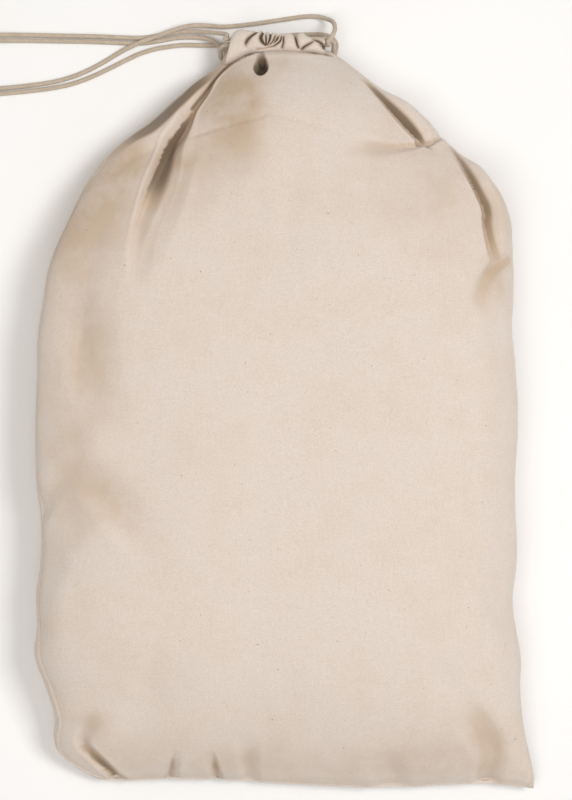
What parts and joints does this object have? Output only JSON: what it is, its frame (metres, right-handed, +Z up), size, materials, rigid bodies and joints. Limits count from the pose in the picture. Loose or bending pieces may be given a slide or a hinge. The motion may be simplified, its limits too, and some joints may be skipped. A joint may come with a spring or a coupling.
{
  "type": "laundry bag",
  "caption": "Cotton drawstring laundry bag, filled and lying on its back, with its mouth gathered shut by drawcords running through hemmed casings.",
  "frame": {"origin": "bottom centre of the bag's bounding box, the free cords left out, on the surface it lies on", "axes": "+X across the bag, to the right when its front is seen from above with the mouth at the top; +Y from the bottom seam to the mouth; +Z up, from the back panel to the front panel"},
  "size_m": [0.5796, 0.7841, 0.116],
  "materials": {
    "front_panel": "natural cotton muslin, plain weave, creased",
    "back_panel": "natural cotton muslin, plain weave, creased",
    "front_casing": "natural cotton muslin, turned over and gathered",
    "back_casing": "natural cotton muslin, turned over and gathered",
    "side_seams": "natural cotton muslin, rolled and stitched",
    "bottom_seam": "natural cotton muslin, rolled and stitched",
    "sewing_thread": "cotton sewing thread, matte",
    "bar_tacks": "cotton sewing thread, satin stitched",
    "left_cord": "natural cotton cord, twisted, matte",
    "right_cord": "natural cotton cord, twisted, matte",
    "coil_tie": "cotton thread, matte"
  },
  "bodies": {
    "bag": {"front_panel": "front_panel", "back_panel": "back_panel", "front_casing": "front_casing", "back_casing": "back_casing", "left_side_seam": "side_seams", "right_side_seam": "side_seams", "bottom_seam": "bottom_seam", "left_seam_thread": "sewing_thread", "right_seam_thread": "sewing_thread", "bottom_seam_thread": "sewing_thread", "front_casing_thread": "sewing_thread", "back_casing_thread": "sewing_thread", "left_bar_tack": "bar_tacks", "right_bar_tack": "bar_tacks"},
    "left_drawcord": {"left_cord_core": "left_cord", "left_cord_tail_front": "left_cord", "left_cord_tail_back": "left_cord", "left_cord_coil": "left_cord", "left_cord_knot": "left_cord", "left_cord_tie": "coil_tie"},
    "right_drawcord": {"right_cord_core": "right_cord", "right_cord_tail_front": "right_cord", "right_cord_tail_back": "right_cord", "right_cord_knot": "right_cord"}
  },
  "joints": [
    {"name": "left_cord_run", "type": "slide", "parent": "bag", "child": "left_drawcord", "axis": [-1, 0, 0], "range_m": [-0.003, 0.003]},
    {"name": "right_cord_run", "type": "slide", "parent": "bag", "child": "right_drawcord", "axis": [1, 0, 0], "range_m": [-0.003, 0.003]}
  ]
}
